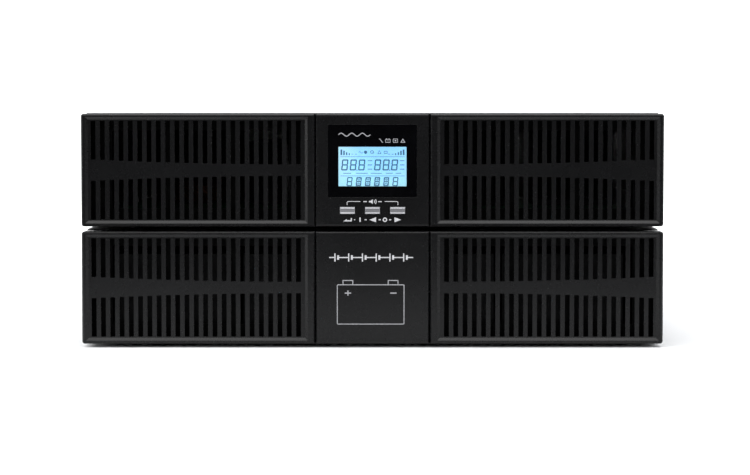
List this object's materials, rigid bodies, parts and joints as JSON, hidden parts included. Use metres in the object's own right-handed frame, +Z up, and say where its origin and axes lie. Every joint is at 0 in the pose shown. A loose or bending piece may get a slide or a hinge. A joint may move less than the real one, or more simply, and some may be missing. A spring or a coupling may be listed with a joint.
{
  "type": "uninterruptible power supply",
  "caption": "Rack uninterruptible power supply: a power module with a display and keys stands on a matching battery pack, both with slotted pull-off front panels.",
  "frame": {"origin": "on the surface that the feet stand on, under the middle of the bounding box", "axes": "+X to the right of someone facing the front, +Y from the front to the rear, +Z up"},
  "size_m": [0.44, 0.611, 0.1776],
  "materials": {
    "bezel_plastic": "black moulded plastic with a fine satin texture",
    "case_paint": "black powder coat on steel sheet",
    "foot_rubber": "black rubber",
    "window_gloss": "polished black acrylic",
    "lcd_cell": "backlit liquid crystal cell, pale blue",
    "key_plastic": "silver-grey painted plastic",
    "circuit_board": "green solder mask",
    "heatsink_aluminium": "bare extruded aluminium",
    "fan_plastic": "black glass-filled plastic",
    "guard_wire": "bright plated steel wire",
    "breaker_body": "light grey thermoset",
    "breaker_lever": "black plastic",
    "connector_plastic": "dark grey nylon",
    "epo_plastic": "green nylon",
    "port_shell": "nickel-plated steel",
    "battery_plastic": "dark grey battery cases under shrink wrap",
    "zinc_steel": "bright zinc-plated steel",
    "copper_winding": "enamelled copper wire",
    "capacitor_sleeve": "dark blue sleeve"
  },
  "bodies": {
    "chassis": {"battery_clamp_bar": "zinc_steel", "battery_row_front": "battery_plastic", "battery_row_middle": "battery_plastic", "battery_row_rear": "battery_plastic", "battery_socket": "connector_plastic", "bus_capacitor_1": "capacitor_sleeve", "bus_capacitor_2": "capacitor_sleeve", "bus_capacitor_3": "capacitor_sleeve", "card_slot_cover": "case_paint", "choke_1": "copper_winding", "choke_2": "copper_winding", "comm_board": "circuit_board", "epo_socket": "epo_plastic", "fan_frame_inner": "fan_plastic", "fan_frame_outer": "fan_plastic", "fan_guard_inner": "guard_wire", "fan_guard_outer": "guard_wire", "heatsink_inner": "heatsink_aluminium", "heatsink_outer": "heatsink_aluminium", "input_breaker": "breaker_body", "main_board": "circuit_board", "pack_base_pan": "case_paint", "pack_breaker": "breaker_body", "pack_cover": "case_paint", "pack_foot_front_left": "foot_rubber", "pack_foot_front_right": "foot_rubber", "pack_foot_rear_left": "foot_rubber", "pack_foot_rear_right": "foot_rubber", "pack_front_plate": "case_paint", "pack_rear_panel": "case_paint", "pack_socket_lower": "connector_plastic", "pack_socket_upper": "connector_plastic", "serial_port": "port_shell", "terminal_block": "connector_plastic", "terminal_cover": "case_paint", "ups_base_pan": "case_paint", "ups_cover": "case_paint", "ups_foot_front_left": "foot_rubber", "ups_foot_front_right": "foot_rubber", "ups_foot_rear_left": "foot_rubber", "ups_foot_rear_right": "foot_rubber", "ups_front_plate": "case_paint", "ups_rear_panel": "case_paint", "usb_port": "port_shell"},
    "display": {"display_panel": "bezel_plastic", "display_window": "window_gloss", "lcd_module": "lcd_cell", "display_board": "circuit_board"},
    "enter_key": {"key_enter": "key_plastic"},
    "back_key": {"key_back": "key_plastic"},
    "next_key": {"key_next": "key_plastic"},
    "ups_left_grille": {"ups_grille_left": "bezel_plastic"},
    "ups_right_grille": {"ups_grille_right": "bezel_plastic"},
    "pack_left_grille": {"pack_grille_left": "bezel_plastic"},
    "pack_right_grille": {"pack_grille_right": "bezel_plastic"},
    "pack_centre": {"pack_centre_panel": "bezel_plastic"},
    "outer_rotor": {"fan_rotor_outer": "fan_plastic"},
    "inner_rotor": {"fan_rotor_inner": "fan_plastic"},
    "input_lever": {"input_breaker_lever": "breaker_lever"},
    "pack_lever": {"pack_breaker_lever": "breaker_lever"}
  },
  "joints": [
    {"name": "display_pull", "type": "slide", "parent": "chassis", "child": "display", "axis": [0, -1, 0], "range_m": [0, 0.045]},
    {"name": "enter_press", "type": "slide", "parent": "display", "child": "enter_key", "axis": [0, 1, 0], "range_m": [0, 0.0008], "stiffness_N_per_m": 1200, "springref_m": -0.0004},
    {"name": "back_press", "type": "slide", "parent": "display", "child": "back_key", "axis": [0, 1, 0], "range_m": [0, 0.0008], "stiffness_N_per_m": 1200, "springref_m": -0.0004},
    {"name": "next_press", "type": "slide", "parent": "display", "child": "next_key", "axis": [0, 1, 0], "range_m": [0, 0.0008], "stiffness_N_per_m": 1200, "springref_m": -0.0004},
    {"name": "ups_left_grille_pull", "type": "slide", "parent": "chassis", "child": "ups_left_grille", "axis": [0, -1, 0], "range_m": [0, 0.04]},
    {"name": "ups_right_grille_pull", "type": "slide", "parent": "chassis", "child": "ups_right_grille", "axis": [0, -1, 0], "range_m": [0, 0.04]},
    {"name": "pack_left_grille_pull", "type": "slide", "parent": "chassis", "child": "pack_left_grille", "axis": [0, -1, 0], "range_m": [0, 0.04]},
    {"name": "pack_right_grille_pull", "type": "slide", "parent": "chassis", "child": "pack_right_grille", "axis": [0, -1, 0], "range_m": [0, 0.04]},
    {"name": "pack_centre_pull", "type": "slide", "parent": "chassis", "child": "pack_centre", "axis": [0, -1, 0], "range_m": [0, 0.04]},
    {"name": "outer_fan_spin", "type": "hinge", "parent": "chassis", "child": "outer_rotor", "pos_m": [0.17, 0.26, 0.13445], "axis": [0, 1, 0], "continuous": true},
    {"name": "inner_fan_spin", "type": "hinge", "parent": "chassis", "child": "inner_rotor", "pos_m": [0.084, 0.26, 0.13445], "axis": [0, 1, 0], "continuous": true},
    {"name": "input_breaker_throw", "type": "hinge", "parent": "chassis", "child": "input_lever", "pos_m": [-0.106, 0.2765, 0.13445], "axis": [1, 0, 0], "range_deg": [-70, 0]},
    {"name": "pack_breaker_throw", "type": "hinge", "parent": "chassis", "child": "pack_lever", "pos_m": [-0.15, 0.2765, 0.04555], "axis": [1, 0, 0], "range_deg": [-70, 0]}
  ]
}
